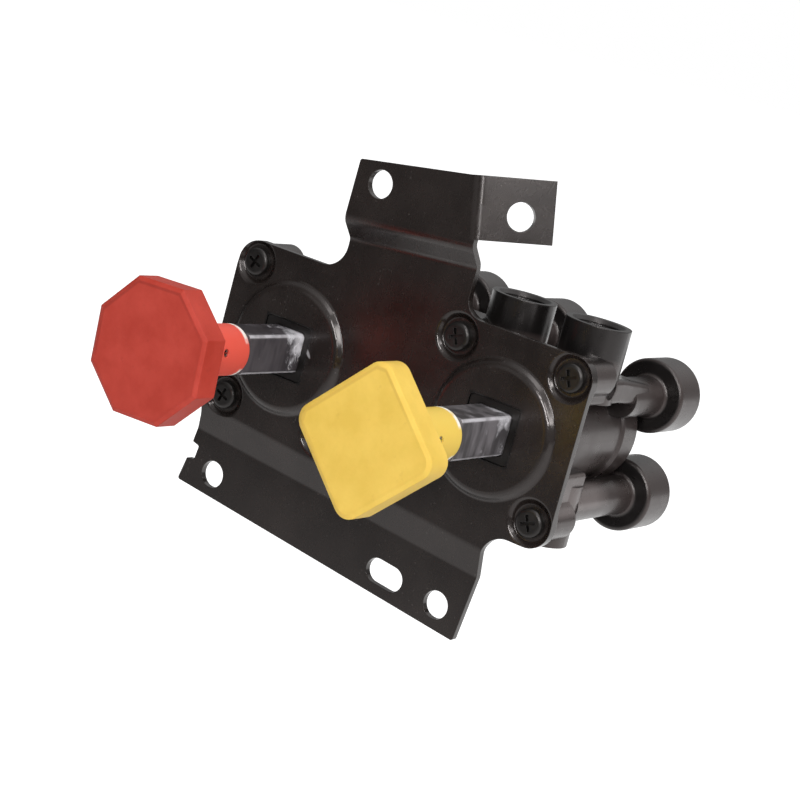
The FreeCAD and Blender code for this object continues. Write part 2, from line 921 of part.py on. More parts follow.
def piston(x):
    middle = (piston_front + piston_back) / 2
    low = middle - piston_groove_half
    high = middle + piston_groove_half
    bore = shaft_radius + ring_gap
    groove_radius = piston_radius - piston_groove_depth
    recess_radius = piston_radius - piston_rim
    recess_floor = piston_back - piston_recess_depth
    shape = [
        (bore, piston_front, 0),
        (piston_radius - piston_edge, piston_front, 0),
        (piston_radius, piston_front + piston_edge, 0),
        (piston_radius, low, 0),
        (groove_radius, low, 0),
        (groove_radius, high, 0),
        (piston_radius, high, 0),
        (piston_radius, piston_back, 0),
        (recess_radius, piston_back, 0),
        (recess_radius - piston_recess_slope, recess_floor, 0),
        (shaft_radius + piston_hub_foot, recess_floor, 0),
        (shaft_radius + piston_hub_top, piston_back, 0),
        (bore, piston_back, 0),
    ]
    return spun_y(shape, x, 0)


def piston_seal(x):
    mean = front_bore - ring_gap - piston_seal_section
    return ring_y(x, 0, mean, piston_seal_section, (piston_front + piston_back) / 2)


def spool(x):
    bore = shaft_radius + ring_gap
    hub = shaft_radius + spool_hub_wall
    land = sleeve_inner - running_gap
    floor = land - spool_groove_depth
    half = spool_groove_half
    edge = spool_edge
    shape = [
        (bore, piston_back, 0),
        (hub, piston_back, 0),
        (hub, spool_land_start, 0),
        (land, spool_land_start + edge, 0),
        (land, spool_groove_first - half, 0),
        (floor, spool_groove_first - half, 0),
        (floor, spool_groove_first + half, 0),
        (land, spool_groove_first + half, 0),
        (land, spool_waist_start, 0),
        (hub, spool_waist_start + edge, 0),
        (hub, spool_waist_end - edge, 0),
        (land, spool_waist_end, 0),
        (land, spool_groove_second - half, 0),
        (floor, spool_groove_second - half, 0),
        (floor, spool_groove_second + half, 0),
        (land, spool_groove_second + half, 0),
        (land, spool_back - edge, 0),
        (land - edge, spool_back, 0),
        (bore, spool_back, 0),
    ]
    return spun_y(shape, x, 0)


def spool_seals(x):
    mean = sleeve_inner - ring_gap - spool_seal_section
    rings = []
    for y in (spool_groove_first, spool_groove_second):
        rings.append(ring_y(x, 0, mean, spool_seal_section, y))
    return Part.makeCompound(rings)


def stem_nut(x):
    corner = nut_flats / 2 / math.cos(math.pi / 6)
    corners = []
    for index in range(6):
        angle = math.radians(60 * index)
        corners.append((x + corner * math.cos(angle), corner * math.sin(angle), 0))
    nut = prism_y(corners, spool_back, nut_back)
    return nut.cut(rod_y(x, 0, shaft_radius + ring_gap, spool_back - overrun, nut_back + overrun))


# Fixed sleeve and the spring in front of it
def sleeve(x):
    flange_edge = front_bore - sleeve_flange_gap
    outer = sleeve_inner + sleeve_wall
    floor = outer - sleeve_groove_depth
    half = sleeve_groove_half
    shape = [
        (sleeve_inner, sleeve_flange_front, 0),
        (flange_edge, sleeve_flange_front, 0),
        (flange_edge, front_bore_end, 0),
        (outer, front_bore_end, 0),
        (outer, sleeve_groove_first - half, 0),
        (floor, sleeve_groove_first - half, 0),
        (floor, sleeve_groove_first + half, 0),
        (outer, sleeve_groove_first + half, 0),
        (outer, sleeve_groove_second - half, 0),
        (floor, sleeve_groove_second - half, 0),
        (floor, sleeve_groove_second + half, 0),
        (outer, sleeve_groove_second + half, 0),
        (outer, sleeve_back, 0),
        (sleeve_inner, sleeve_back, 0),
    ]
    tube = spun_y(shape, x, 0)
    past = outer + overrun
    windows = [
        rod_z(x, sleeve_window_y, sleeve_window_radius, -past, past),
        rod_x(sleeve_window_y, 0, sleeve_window_radius, x - past, x + past),
    ]
    return tube.cut(windows)


def sleeve_seals(x):
    mean = rear_bore - ring_gap - sleeve_seal_section
    rings = []
    for y in (sleeve_groove_first, sleeve_groove_second):
        rings.append(ring_y(x, 0, mean, sleeve_seal_section, y))
    return Part.makeCompound(rings)


def spring(x):
    """Half turns of torus, tilted so that they join smoothly. The end ones lie flat."""
    low = piston_back + spring_wire_radius + spring_end_gap
    high = sleeve_flange_front - spring_wire_radius - spring_end_gap
    rise = (high - low) / (spring_half_turns - 2)
    coil = None
    start = low
    for index in range(spring_half_turns):
        flat = index in (0, spring_half_turns - 1)
        climb = 0 if flat else rise
        slope = math.atan2(climb, 2 * spring_mean_radius)
        reach = math.hypot(spring_mean_radius, climb / 2)
        wire = Part.Wire(Part.makeCircle(spring_wire_radius, vec(reach, 0, 0), vec(0, 0, 1)))
        half = Part.Face(wire).revolve(vec(0, 0, 0), vec(0, -1, 0), 180)
        half.rotate(vec(0, 0, 0), vec(0, 0, 1), -math.degrees(slope))
        half.translate(vec(0, start + climb / 2, 0))
        if index % 2:
            half.rotate(vec(0, 0, 0), vec(0, 1, 0), 180)
        coil = half if coil is None else coil.fuse(half)
        start += climb
    coil.translate(vec(x, 0, 0))
    return coil


# Shuttle parts in the gallery
def along_gallery(x_from, x_to, radius):
    return rod_x(top_port_y, gallery_z, radius, x_from, x_to)


def shuttle_seat(start):
    ring = along_gallery(start, start + shuttle_seat_thickness, shuttle_seat_radius)
    end = start + shuttle_seat_thickness
    return ring.cut(along_gallery(start - overrun, end + overrun, shuttle_seat_hole))


def shuttle_disc():
    half = shuttle_thickness / 2
    disc = along_gallery(gallery_middle - half, gallery_middle + half, shuttle_radius)
    low = gallery_middle - shuttle_groove_half
    high = gallery_middle + shuttle_groove_half
    floor = shuttle_radius - shuttle_groove_depth
    groove = along_gallery(low, high, shuttle_radius + overrun)
    return disc.cut(groove.cut(along_gallery(low - overrun, high + overrun, floor)))


def gallery_plug():
    plug = along_gallery(plug_front, plug_end, plug_radius)
    low = plug_groove_x - plug_groove_half
    high = plug_groove_x + plug_groove_half
    floor = plug_radius - plug_groove_depth
    groove = along_gallery(low, high, plug_radius + overrun)
    groove = groove.cut(along_gallery(low - overrun, high + overrun, floor))
    corner = plug_socket_flats / 2 / math.cos(math.pi / 6)
    points = []
    for index in range(7):
        angle = math.radians(60 * index)
        across = top_port_y + corner * math.cos(angle)
        points.append(vec(plug_end + overrun, across, gallery_z + corner * math.sin(angle)))
    socket = Part.Face(Part.makePolygon(points)).extrude(vec(-plug_socket_depth - overrun, 0, 0))
    return plug.cut([groove, socket])


def gallery_plug_seal():
    mean = gallery_bore - ring_gap - plug_seal_section
    return Part.makeTorus(mean, plug_seal_section, vec(plug_groove_x, top_port_y, gallery_z), vec(1, 0, 0))


# Everything is written out
os.makedirs("parts", exist_ok=True)
save("cover_plate", cover_plate())
save("cover_screws", cover_screws())
save("cover_gasket", cover_gasket())
save("valve_body", valve_body())

octagon_full = octagon_corners(octagon_radius)
octagon_face = octagon_corners(octagon_radius - knob_bevel_width)
octagon_back = octagon_corners(octagon_radius - knob_back_bevel)
square_full = turned(square_corners(square_half, square_round), 0, 45)
square_face = turned(square_corners(square_half - knob_bevel_width, face_round), 0, 45)
square_back = turned(square_corners(square_half - knob_back_bevel, back_round), 0, 45)
save("red_knob", knob(-half_pitch, octagon_full, octagon_face, octagon_back, red_turn))
save("yellow_knob", knob(half_pitch, square_full, square_face, square_back, 0))
for name, x in (("red", -half_pitch), ("yellow", half_pitch)):
    save(name + "_knob_pin", knob_pin(x))
    save(name + "_stem", stem(x))
    save(name + "_stem_guide", stem_guide(x))
    save(name + "_piston", piston(x))
    save(name + "_piston_seal", piston_seal(x))
    save(name + "_spool", spool(x))
    save(name + "_spool_seals", spool_seals(x))
    save(name + "_stem_nut", stem_nut(x))
    save(name + "_sleeve", sleeve(x))
    save(name + "_sleeve_seals", sleeve_seals(x))
    save(name + "_spring", spring(x))

near_seat = gallery_middle - shuttle_room / 2 - shuttle_seat_thickness
far_seat = gallery_middle + shuttle_room / 2
save("shuttle_seat_near", shuttle_seat(near_seat))
save("shuttle_seat_far", shuttle_seat(far_seat))
save("shuttle_disc", shuttle_disc())
save("gallery_plug", gallery_plug())
save("gallery_plug_seal", gallery_plug_seal())
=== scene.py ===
import json
import math

import bmesh
import bpy
from mathutils import Matrix, Quaternion, Vector


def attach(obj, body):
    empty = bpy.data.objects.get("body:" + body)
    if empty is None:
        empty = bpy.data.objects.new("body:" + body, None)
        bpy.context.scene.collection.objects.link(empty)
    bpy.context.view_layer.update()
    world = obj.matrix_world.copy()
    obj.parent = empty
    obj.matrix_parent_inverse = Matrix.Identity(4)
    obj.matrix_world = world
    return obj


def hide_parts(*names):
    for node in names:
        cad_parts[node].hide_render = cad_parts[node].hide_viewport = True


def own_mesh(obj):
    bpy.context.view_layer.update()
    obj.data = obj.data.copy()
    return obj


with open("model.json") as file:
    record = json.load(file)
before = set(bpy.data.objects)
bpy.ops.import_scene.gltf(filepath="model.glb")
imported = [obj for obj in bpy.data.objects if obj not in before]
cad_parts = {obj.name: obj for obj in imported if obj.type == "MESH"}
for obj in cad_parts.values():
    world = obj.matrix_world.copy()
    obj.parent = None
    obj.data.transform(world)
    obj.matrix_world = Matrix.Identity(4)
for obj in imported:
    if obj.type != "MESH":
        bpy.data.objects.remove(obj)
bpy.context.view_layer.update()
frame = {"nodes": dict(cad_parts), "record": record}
nodes = frame["nodes"]
scene = bpy.context.scene

# Camera, as the photograph was taken: degrees, metres and pixels
picture_width = 800
focal_pixels = 1987.96
sensor = 36.0
camera_azimuth = 30.97
camera_elevation = 11.60
camera_roll = -14.89
camera_distance = 0.61931
camera_target = Vector((0.00616, 0.0, -0.00209))
camera_near = 0.01

# Floor: its height, size and colour, and what it shows to the camera and in reflections
floor_height = -0.20
floor_size = 40.0
floor_colour = (0.85, 0.85, 0.85, 1)
floor_roughness = 0.9
floor_white = 0.62
bright_way = (0.35, 0.94, 0)
bright_from = -1.00
bright_to = 0.30
bright_floor = 1.10
dim_floor = 0.10

# Light from around: the sky overhead, the band at the sides and the dim side
sky_from = 0.25
sky_to = 0.75
sky_light = 0.95
band_light = 0.28
dim_side = (-0.75, -0.60, -0.05)
dim_to = 0.75
dim_light = 0.20

# Sizes taken from the solids and their joints, in metres
half_pitch = 0.040
knob_front = -0.0700
knob_back = -0.0604
collar_back = -0.0300
hole_half = 0.0092
bar_half = 0.0066

# Outlines of the buttons: each side's direction in degrees and share, and the painted shade line's
# distance
octagon_sides = ((2.6, 1.0), (47.6, 1.0), (92.6, 1.0), (137.6, 1.0))
square_sides = ((45, 1.0), (135, 1.0), (0, 0.76), (90, 0.76))
octagon_line = 0.0191
square_line = 0.0158

# Colours of marks and wear, and of painted shade and light
shade_black = (0.0035, 0.0034, 0.0034)
rubbed = (0.085, 0.075, 0.075)
dust_pale = (0.16, 0.145, 0.14)
right_side_light = (0.050, 0.038, 0.036)
underside_light = (0.22, 0.19, 0.185)
grease_pale = (0.84, 0.82, 0.86)
rim_pale = (0.88, 0.86, 0.80)
bar_edge_highlight = (0.62, 0.60, 0.63)

# Enamel: lengths in metres, and amounts
cloud_size = 0.018
smear_size = 0.006
scuff_size = (0.0007, 0.004, 0.009)
scuff_roughness = 0.10
roughness_spread = 0.06
worn_edge = 0.0005
worn_amount = 0.30
speck_spacing = 0.0016
speck_share = 0.10
speck_patch = 0.008
polish_low = 0.034
polish_high = 0.042
enamel_coat_roughness = 0.20
enamel_tint = (1.0, 0.92, 0.90, 1.0)
swell_size = 0.030
grain_strength = 0.4

# Painted shade and a pale streak on the cover plate: lengths in metres, the streak's turn in degrees, and
# its amount
hole_rim = 0.0007
streak_place = (-0.0303, -0.002, 0.0014)
streak_length = 0.0042
streak_width = 0.0013
streak_turn = 49
streak_amount = 0.28

# Painted shade and light on the casting: where each fades in or out in metres, and amounts
boss_front = (0.045, 0.050)
boss_shade = 0.8
port_foot = (0.0275, 0.0295)
port_back = (0.034, 0.036)
port_shade = 0.75
right_light_amount = 0.7
underside_top = (-0.016, -0.003)
underside_foot = (-0.0205, -0.0190)
underside_left = (0.040, 0.050)
underside_back = (0.036, 0.046)
underside_amount = 0.5

# Moulded plastic: lengths in metres, and amounts
plastic_cloud = 0.009
stain_size = 0.0035
stain_amount = 0.30
collar_from = -0.0002
collar_to = 0.0006
collar_amount = 0.9
line_core = 0.0002
line_edge = 0.0006
face_depth = 0.0006
face_end = 0.0010
line_way = (-0.6, 0.8)
line_from = -0.004
line_to = 0.012
line_faint = 0.06
line_strong = 0.40
rim_from = -0.0026
rim_to = -0.0018
rim_clear = (0.0038, 0.0050)
rim_patch = 0.0045
ripple_size = 0.0008
ripple_depth = 0.00004
plastic_edge = 0.0005

# Greased bars: lengths and places along Y in metres, and amounts
band_size = (0.006, 0.0045, 0.016)
corner_patch = 0.004
grease_from = -0.0140
grease_to = -0.0020
film_size = 0.0050
film_share = 0.9
swirl_size = (0.0032, 0.0032, 0.0062)
swirl_from = -0.015
swirl_to = -0.006
swirl_amount = 0.14
lump_size = 0.0014
lump_height = 0.00022
bar_soft_edge = 0.0003

# Threads in the ports: lengths in metres, steps per turn, and shares of bore, height, pitch and foot
millimetre = 0.001
thread_pitch = 0.0014
thread_height = 0.00035
thread_start = 0.0005
thread_steps = 40
thread_share = 0.7
thread_sunk = 0.2
thread_foot = 0.42
thread_crest = 0.15


# Node materials
class Graph:
    """Adds nodes to a node tree and joins their sockets."""

    def __init__(self, tree):
        self.tree = tree

    def node(self, kind, **settings):
        made = self.tree.nodes.new(kind)
        for name, value in settings.items():
            if name in made.inputs:
                made.inputs[name].default_value = value
            else:
                setattr(made, name, value)
        return made

    def join(self, output, socket):
        self.tree.links.new(output, socket)

    def span(self, source, low, high, to_low, to_high, curve="LINEAR"):
        """Maps the range from low to high onto another, and holds its ends beyond them."""
        made = self.node("ShaderNodeMapRange", interpolation_type=curve)
        made.inputs["From Min"].default_value = low
        made.inputs["From Max"].default_value = high
        made.inputs["To Min"].default_value = to_low
        made.inputs["To Max"].default_value = to_high
        self.join(source, made.inputs["Value"])
        return made.outputs["Result"]

    def rise(self, source, low, high, top=1.0):
        """0 up to low, and from there up to the top at high."""
        return self.span(source, low, high, 0.0, top)

    def fall(self, source, low, high, top=1.0):
        """The top up to low, and from there down to 0 at high."""
        return self.span(source, low, high, top, 0.0)

    def math(self, operation, first, second):
        made = self.node("ShaderNodeMath", operation=operation)
        for index, value in enumerate((first, second)):
            if isinstance(value, (int, float)):
                made.inputs[index].default_value = value
            else:
                self.join(value, made.inputs[index])
        return made.outputs[0]

    def product(self, *factors):
        result = factors[0]
        for factor in factors[1:]:
            result = self.math("MULTIPLY", result, factor)
        return result

    def absolute(self, value):
        return self.math("ABSOLUTE", value, 0.0)

    def dot(self, source, direction):
        made = self.node("ShaderNodeVectorMath", operation="DOT_PRODUCT")
        made.inputs[1].default_value = direction
        self.join(source, made.inputs[0])
        return made.outputs["Value"]


class Shader(Graph):
    """A material under construction, with patterns laid out in the object's own coordinates."""

    def __init__(self, name):
        self.material = bpy.data.materials.new(name)
        self.material.use_nodes = True
        super().__init__(self.material.node_tree)
        self.surface = self.tree.nodes["Principled BSDF"]
        self.coords = self.tree.nodes.new("ShaderNodeTexCoord").outputs["Object"]

    def set(self, **values):
        for name, value in values.items():
            self.surface.inputs[name.replace("_", " ")].default_value = value

    def set_colour(self, colour):
        self.join(colour, self.surface.inputs["Base Color"])

    def set_roughness(self, roughness):
        self.join(roughness, self.surface.inputs["Roughness"])

    def noise(self, size, detail=3.0, roughness=0.5, coords=None):
        made = self.node("ShaderNodeTexNoise", Scale=1.0 / size, Detail=detail, Roughness=roughness)
        self.join(coords or self.coords, made.inputs["Vector"])
        return made.outputs["Fac"]

    def streaks(self, lengths, detail, roughness=0.5):
        """Noise drawn out to these lengths in metres along the three axes."""
        made = self.node("ShaderNodeMapping")
        made.inputs["Scale"].default_value = tuple(1.0 / length for length in lengths)
        self.join(self.coords, made.inputs["Vector"])
        return self.noise(1.0, detail, roughness, made.outputs["Vector"])

    def split(self, vector):
        made = self.node("ShaderNodeSeparateXYZ")
        self.join(vector, made.inputs["Vector"])
        return made.outputs["X"], made.outputs["Y"], made.outputs["Z"]

    def mix(self, factor, first, second):
        made = self.node("ShaderNodeMix", data_type="RGBA")
        for socket, value in ((made.inputs[0], factor), (made.inputs[6], first), (made.inputs[7], second)):
            if isinstance(value, tuple):
                socket.default_value = (*value, 1)
            else:
                self.join(value, socket)
        return made.outputs[2]

    def edge_wear(self, radius, amount):
        """The amount on edges, broken up by noise, and 0 on flat ground."""
        rounded = self.node("ShaderNodeBevel", samples=4, Radius=radius)
        geometry = self.node("ShaderNodeNewGeometry")
        bend = self.node("ShaderNodeVectorMath", operation="DOT_PRODUCT")
        self.join(rounded.outputs["Normal"], bend.inputs[0])
        self.join(geometry.outputs["Normal"], bend.inputs[1])
        edge = self.fall(bend.outputs["Value"], 0.80, 0.97)
        broken = self.rise(self.noise(0.004, 4.0, 0.7), 0.42, 0.62, amount)
        return self.product(edge, broken)

    def specks(self, spacing, size, patch, amount):
        """Small pale grains of dust, gathered in patches."""
        cells = self.node("ShaderNodeTexVoronoi", Scale=1.0 / spacing)
        self.join(self.coords, cells.inputs["Vector"])
        grain = self.fall(cells.outputs["Distance"], size, size * 1.8)
        return self.product(grain, self.rise(self.noise(patch), 0.52, 0.64, amount))

    def reach(self, centre_x, sides):
        """Distance from a button's axis, measured as an outline with these flat sides has it."""
        x, _, z = self.split(self.coords)
        x = self.math("SUBTRACT", x, centre_x)
        farthest = 0.0
        for angle, share in sides:
            way = math.radians(angle)
            along_x = self.product(x, math.cos(way) * share)
            along_z = self.product(z, math.sin(way) * share)
            out = self.absolute(self.math("ADD", along_x, along_z))
            farthest = self.math("MAXIMUM", out, farthest)
        return farthest

    def spot(self, centre, length, width, turn):
        """1 on a streak of this length and width on a face that looks to the front, fading at its rim."""
        made = self.node("ShaderNodeMapping", vector_type="TEXTURE")
        made.inputs["Location"].default_value = centre
        made.inputs["Rotation"].default_value = (0, math.radians(turn), 0)
        made.inputs["Scale"].default_value = (length / 2, length / 2, width / 2)
        self.join(self.coords, made.inputs["Vector"])
        size = self.node("ShaderNodeVectorMath", operation="LENGTH")
        self.join(made.outputs["Vector"], size.inputs[0])
        return self.fall(size.outputs["Value"], 0.6, 1.0)

    def facing(self, axis):
        """How far the surface looks along one axis, from -1 to 1."""
        geometry = self.node("ShaderNodeNewGeometry")
        return self.split(geometry.outputs["Normal"])[axis]

    def bump(self, height, distance, strength, soft_edge):
        made = self.node("ShaderNodeBump", Strength=strength, Distance=distance)
        self.join(height, made.inputs["Height"])
        rounded = self.node("ShaderNodeBevel", samples=6, Radius=soft_edge)
        self.join(rounded.outputs["Normal"], made.inputs["Normal"])
        self.join(made.outputs["Normal"], self.surface.inputs["Normal"])


def enamel(name, dark, light, roughness, polish, coat, grain, depth, waves, soft_edge, dust, marks):
    """Black enamel with dust in patches and rubbed edges, polished on slopes that face right."""
    shader = Shader(name)
    cloud = shader.noise(cloud_size, 4.0, 0.5)
    colour = shader.mix(shader.rise(cloud, 0.35, 0.7), dark, light)
    colour = shader.mix(shader.edge_wear(worn_edge, worn_amount), colour, rubbed)
    colour = shader.mix(shader.specks(speck_spacing, speck_share, speck_patch, dust), colour, dust_pale)
    shader.set_colour(marks(shader, colour))
    smears = shader.noise(smear_size, 4.0, 0.6)
    smears = shader.span(smears, 0.3, 0.7, roughness - roughness_spread, roughness + roughness_spread)
    scuffs = shader.rise(shader.streaks(scuff_size, 3.0, 0.6), 0.60, 0.72, scuff_roughness)
    z = shader.split(shader.coords)[2]
    sheen = shader.rise(shader.facing(0), 0.20, 0.45, polish)
    sheen = shader.product(sheen, shader.fall(z, polish_low, polish_high))
    shader.set_roughness(shader.math("SUBTRACT", shader.math("ADD", smears, scuffs), sheen))
    shader.set(Coat_Weight=coat, Coat_Roughness=enamel_coat_roughness, Specular_Tint=enamel_tint)
    swell = shader.product(shader.noise(swell_size, 1.0, 0.4), waves / depth)
    height = shader.math("ADD", shader.noise(grain, 3.0, 0.6), swell)
    shader.bump(height, depth, grain_strength, soft_edge)
    return shader.material


def sheet_marks(shader, colour):
    """Painted shade as a dark line round the square holes of the domes, and a pale streak on the left
    dome.
    """
    x, _, z = shader.split(shader.coords)
    beside = shader.math("SUBTRACT", shader.absolute(x), half_pitch)
    out = shader.math("MAXIMUM", shader.absolute(beside), shader.absolute(z))
    # Painted shade: a dark line round each square hole, where the stem enters
    rim = shader.fall(out, hole_half, hole_half + hole_rim)
    colour = shader.mix(rim, colour, shade_black)
    pale_streak = shader.product(shader.spot(streak_place, streak_length, streak_width, streak_turn), streak_amount)
    return shader.mix(pale_streak, colour, grease_pale)


def cast_shade_and_light(shader, colour):
    """Painted shade on the boss fronts and top ports, and painted light on right-facing sides and low on
    the right chamber.
    """
    x, y, z = shader.split(shader.coords)
    # Painted shade: the boss fronts, which face the front, are darkened
    front = shader.fall(shader.facing(1), -0.97, -0.90, boss_shade)
    front = shader.product(front, shader.rise(y, *boss_front))
    colour = shader.mix(front, colour, shade_black)
    # Painted shade: the top ports are darkened
    shaded_top_ports = shader.product(shader.rise(z, *port_foot, port_shade), shader.fall(y, *port_back))
    colour = shader.mix(shaded_top_ports, colour, shade_black)
    # Painted light: surfaces that face right are coloured lighter and browner
    right = shader.product(
        shader.rise(shader.facing(0), 0.25, 0.75),
        shader.fall(z, *port_foot),
        right_light_amount,
    )
    colour = shader.mix(right, colour, right_side_light)
    # Painted light: the right chamber's lower side is coloured paler, for light it catches from below
    under = shader.product(
        shader.fall(z, *underside_top),
        shader.rise(x, *underside_left),
        shader.rise(z, *underside_foot),
        shader.fall(y, *underside_back, underside_amount),
        shader.rise(shader.facing(0), 0.1, 0.4),
    )
    return shader.mix(under, colour, underside_light)


def plastic(name, centre_x, sides, line_at, dark, light, grime_and_shade, collar):
    """Moulded plastic with stains: painted shade along a line inside the face's upper edges, painted light
    on the collar, and pale patches on the collar's rear rim.
    """
    shader = Shader(name)
    cloud = shader.noise(plastic_cloud, 5.0, 0.6)
    colour = shader.mix(shader.rise(cloud, 0.35, 0.68), dark, light)
    stain = shader.rise(shader.noise(stain_size, 5.0, 0.7), 0.60, 0.74, stain_amount)
    colour = shader.mix(stain, colour, grime_and_shade)
    x, depth, z = shader.split(shader.coords)
    # Painted light: the collar behind the knob is coloured lighter, for the extra light it catches
    behind = shader.rise(depth, knob_back + collar_from, knob_back + collar_to, collar_amount)
    colour = shader.mix(behind, colour, collar)
    # Painted shade: a dark line inside the face's edges, strongest at the upper left, standing for a
    # step's shade
    away = shader.absolute(shader.math("SUBTRACT", shader.reach(centre_x, sides), line_at))
    line = shader.fall(away, line_core, line_edge)
    line = shader.product(line, shader.fall(depth, knob_front + face_depth, knob_front + face_end))
    way_x, way_z = line_way
    left = shader.product(shader.math("SUBTRACT", x, centre_x), way_x)
    upper = shader.math("ADD", left, shader.product(z, way_z))
    line = shader.product(line, shader.span(upper, line_from, line_to, line_faint, line_strong))
    colour = shader.mix(line, colour, grime_and_shade)
    # Pale patches on the collar's rear rim, above and below its middle
    rim = shader.product(
        shader.rise(depth, collar_back + rim_from, collar_back + rim_to),
        shader.rise(shader.absolute(z), *rim_clear),
        shader.span(shader.noise(rim_patch, 2.0), 0.30, 0.42, 0.35, 0.95),
    )
    shader.set_colour(shader.mix(rim, colour, rim_pale))
    shader.set_roughness(shader.span(cloud, 0.3, 0.7, 0.48, 0.60))
    shader.set(Subsurface_Weight=0.06, Subsurface_Scale=0.002, Specular_IOR_Level=0.22)
    ripple = shader.math("ADD", shader.noise(ripple_size, 2.0), shader.product(cloud, 2.0))
    shader.bump(ripple, ripple_depth, 0.4, plastic_edge)
    return shader.material


def greased_bar(name, centre_x, amount, bar_dark, bar_light):
    """Grey square bar with a painted highlight on its rounded corners; grease gathers near the cover, most
    at the upper right.
    """
    shader = Shader(name)
    x, depth, z = shader.split(shader.coords)
    bands = shader.streaks(band_size, 2.0)
    bare = shader.mix(shader.rise(bands, 0.40, 0.60), bar_dark, bar_light)
    # Painted highlight: paler bands along the rounded corners, broken up in patches
    corner = shader.absolute(shader.product(shader.facing(0), shader.facing(2)))
    worn = shader.span(shader.noise(corner_patch, 3.0, 0.5), 0.30, 0.60, 0.45, 1.0)
    corner = shader.product(shader.rise(corner, 0.34, 0.47), worn)
    colour = shader.mix(corner, bare, bar_edge_highlight)
    right = shader.product(shader.math("SUBTRACT", x, centre_x), 0.5 / bar_half)
    upper = shader.math("ADD", right, shader.product(z, 0.5 / bar_half))
    root = shader.rise(depth, grease_from, grease_to)
    gather = shader.product(root, shader.span(upper, 0.1, 1.0, 0.10, 0.20 + 0.32 * amount))
    film = shader.math("ADD", shader.product(shader.noise(film_size, 3.0, 0.5), film_share), gather)
    swirl = shader.absolute(shader.math("SUBTRACT", shader.streaks(swirl_size, 3.0), 0.5))
    swirl = shader.product(shader.fall(swirl, 0.004, 0.030), shader.rise(depth, swirl_from, swirl_to))
    film = shader.math("ADD", film, shader.product(swirl, swirl_amount * amount))
    grease = shader.rise(film, 0.62, 0.86)
    shader.set_colour(shader.mix(grease, colour, grease_pale))
    shader.set_roughness(shader.span(bands, 0.3, 0.7, 0.30, 0.42))
    shader.set(Metallic=0.2, Coat_Weight=0.4, Coat_Roughness=0.12)
    lumps = shader.product(grease, shader.noise(lump_size, 2.0, 0.5))
    shader.bump(lumps, lump_height, 0.6, bar_soft_edge)
    return shader.material


def simple(name, colour, roughness, metallic=0.0, grain=0.0010, coat=0.0, wear=0.03):
    """A plain finish with a little unevenness: darker clouds, broken gloss and fine grain."""
    shader = Shader(name)
    cloud = shader.noise(grain * 6, 4.0, 0.6)
    darker = tuple(channel * 0.7 for channel in colour)
    mottled = shader.mix(shader.rise(cloud, 0.35, 0.65), darker, colour)
    worn = tuple(min(1.0, channel * 1.5 + wear) for channel in colour)
    shader.set_colour(shader.mix(shader.edge_wear(0.0003, 0.6), mottled, worn))
    shader.set_roughness(shader.span(cloud, 0.3, 0.7, roughness - 0.06, roughness + 0.06))
    shader.set(Metallic=metallic, Coat_Weight=coat, Specular_Tint=(1.0, 0.94, 0.92, 1.0))
    shader.bump(shader.noise(grain, 2.0), 0.00003, 0.4, 0.0002)
    return shader.material


def turned_metal(name, colour, roughness):
    """Lathe-turned metal: fine rings along the stem's axis."""
    shader = Shader(name)
    rings = shader.streaks((0.02, 0.00022, 0.02), 2.0)
    darker = tuple(channel * 0.8 for channel in colour)
    shader.set_colour(shader.mix(shader.rise(rings, 0.3, 0.7), darker, colour))
    smears = shader.noise(0.004, 4.0, 0.6)
    shader.set_roughness(shader.span(smears, 0.3, 0.7, roughness - 0.06, roughness + 0.08))
    shader.set(Metallic=1.0)
    shader.bump(rings, 0.00003, 0.5, 0.0002)
    return shader.material


def paint(material, *names):
    for name in names:
        mesh = nodes[name].data
        mesh.materials.clear()
        mesh.materials.append(material)


sheet_black = enamel(
    "black_sheet",
    dark=(0.0095, 0.0068, 0.0060),
    light=(0.018, 0.0135, 0.012),
    roughness=0.26,
    polish=0.13,
    coat=0.30,
    grain=0.0011,
    depth=0.00003,
    waves=0.0007,
    soft_edge=0.0004,
    dust=0.25,
    marks=sheet_marks,
)
cast_black = enamel(
    "black_casting",
    dark=(0.0100, 0.0082, 0.0078),
    light=(0.020, 0.0155, 0.0148),
    roughness=0.30,
    polish=0.0,
    coat=0.20,
    grain=0.0006,
    depth=0.00004,
    waves=0.0,
    soft_edge=0.0006,
    dust=0.20,
    marks=cast_shade_and_light,
)
black_screw = simple("black_screw", (0.0085, 0.0075, 0.0070), 0.36, 0.0, 0.0006, 0.1, 0.010)
black_moulding = simple("black_moulding", (0.0060, 0.0055, 0.0052), 0.34, 0.0, 0.0008, 0.1, 0.010)
fibre = simple("gasket_fibre", (0.09, 0.085, 0.08), 0.75, 0.0, 0.0005)
rubber = simple("rubber", (0.02, 0.02, 0.02), 0.6)
steel = simple("steel", (0.50, 0.50, 0.51), 0.30, 1.0)
aluminium = turned_metal("turned_aluminium", (0.72, 0.72, 0.74), 0.30)
brass = turned_metal("turned_brass", (0.75, 0.58, 0.28), 0.28)

paint(sheet_black, "cover_plate")
paint(cast_black, "valve_body")
red_plastic = plastic(
    "red_plastic",
    centre_x=-half_pitch,
    sides=octagon_sides,
    line_at=octagon_line,
    dark=(0.405, 0.040, 0.025),
    light=(0.475, 0.055, 0.037),
    grime_and_shade=(0.20, 0.020, 0.015),
    # The red collar is coloured lighter than the face: painted light
    collar=(0.78, 0.105, 0.072),
)
yellow_plastic = plastic(
    "yellow_plastic",
    centre_x=half_pitch,
    sides=square_sides,
    line_at=square_line,
    dark=(0.70, 0.465, 0.079),
    light=(0.78, 0.53, 0.104),
    grime_and_shade=(0.50, 0.29, 0.055),
    collar=(0.76, 0.53, 0.102),
)
paint(red_plastic, "red_knob")
paint(yellow_plastic, "yellow_knob")
red_bar = greased_bar("red_stem_bar", -half_pitch, 1.0, (0.055, 0.048, 0.053), (0.105, 0.094, 0.102))
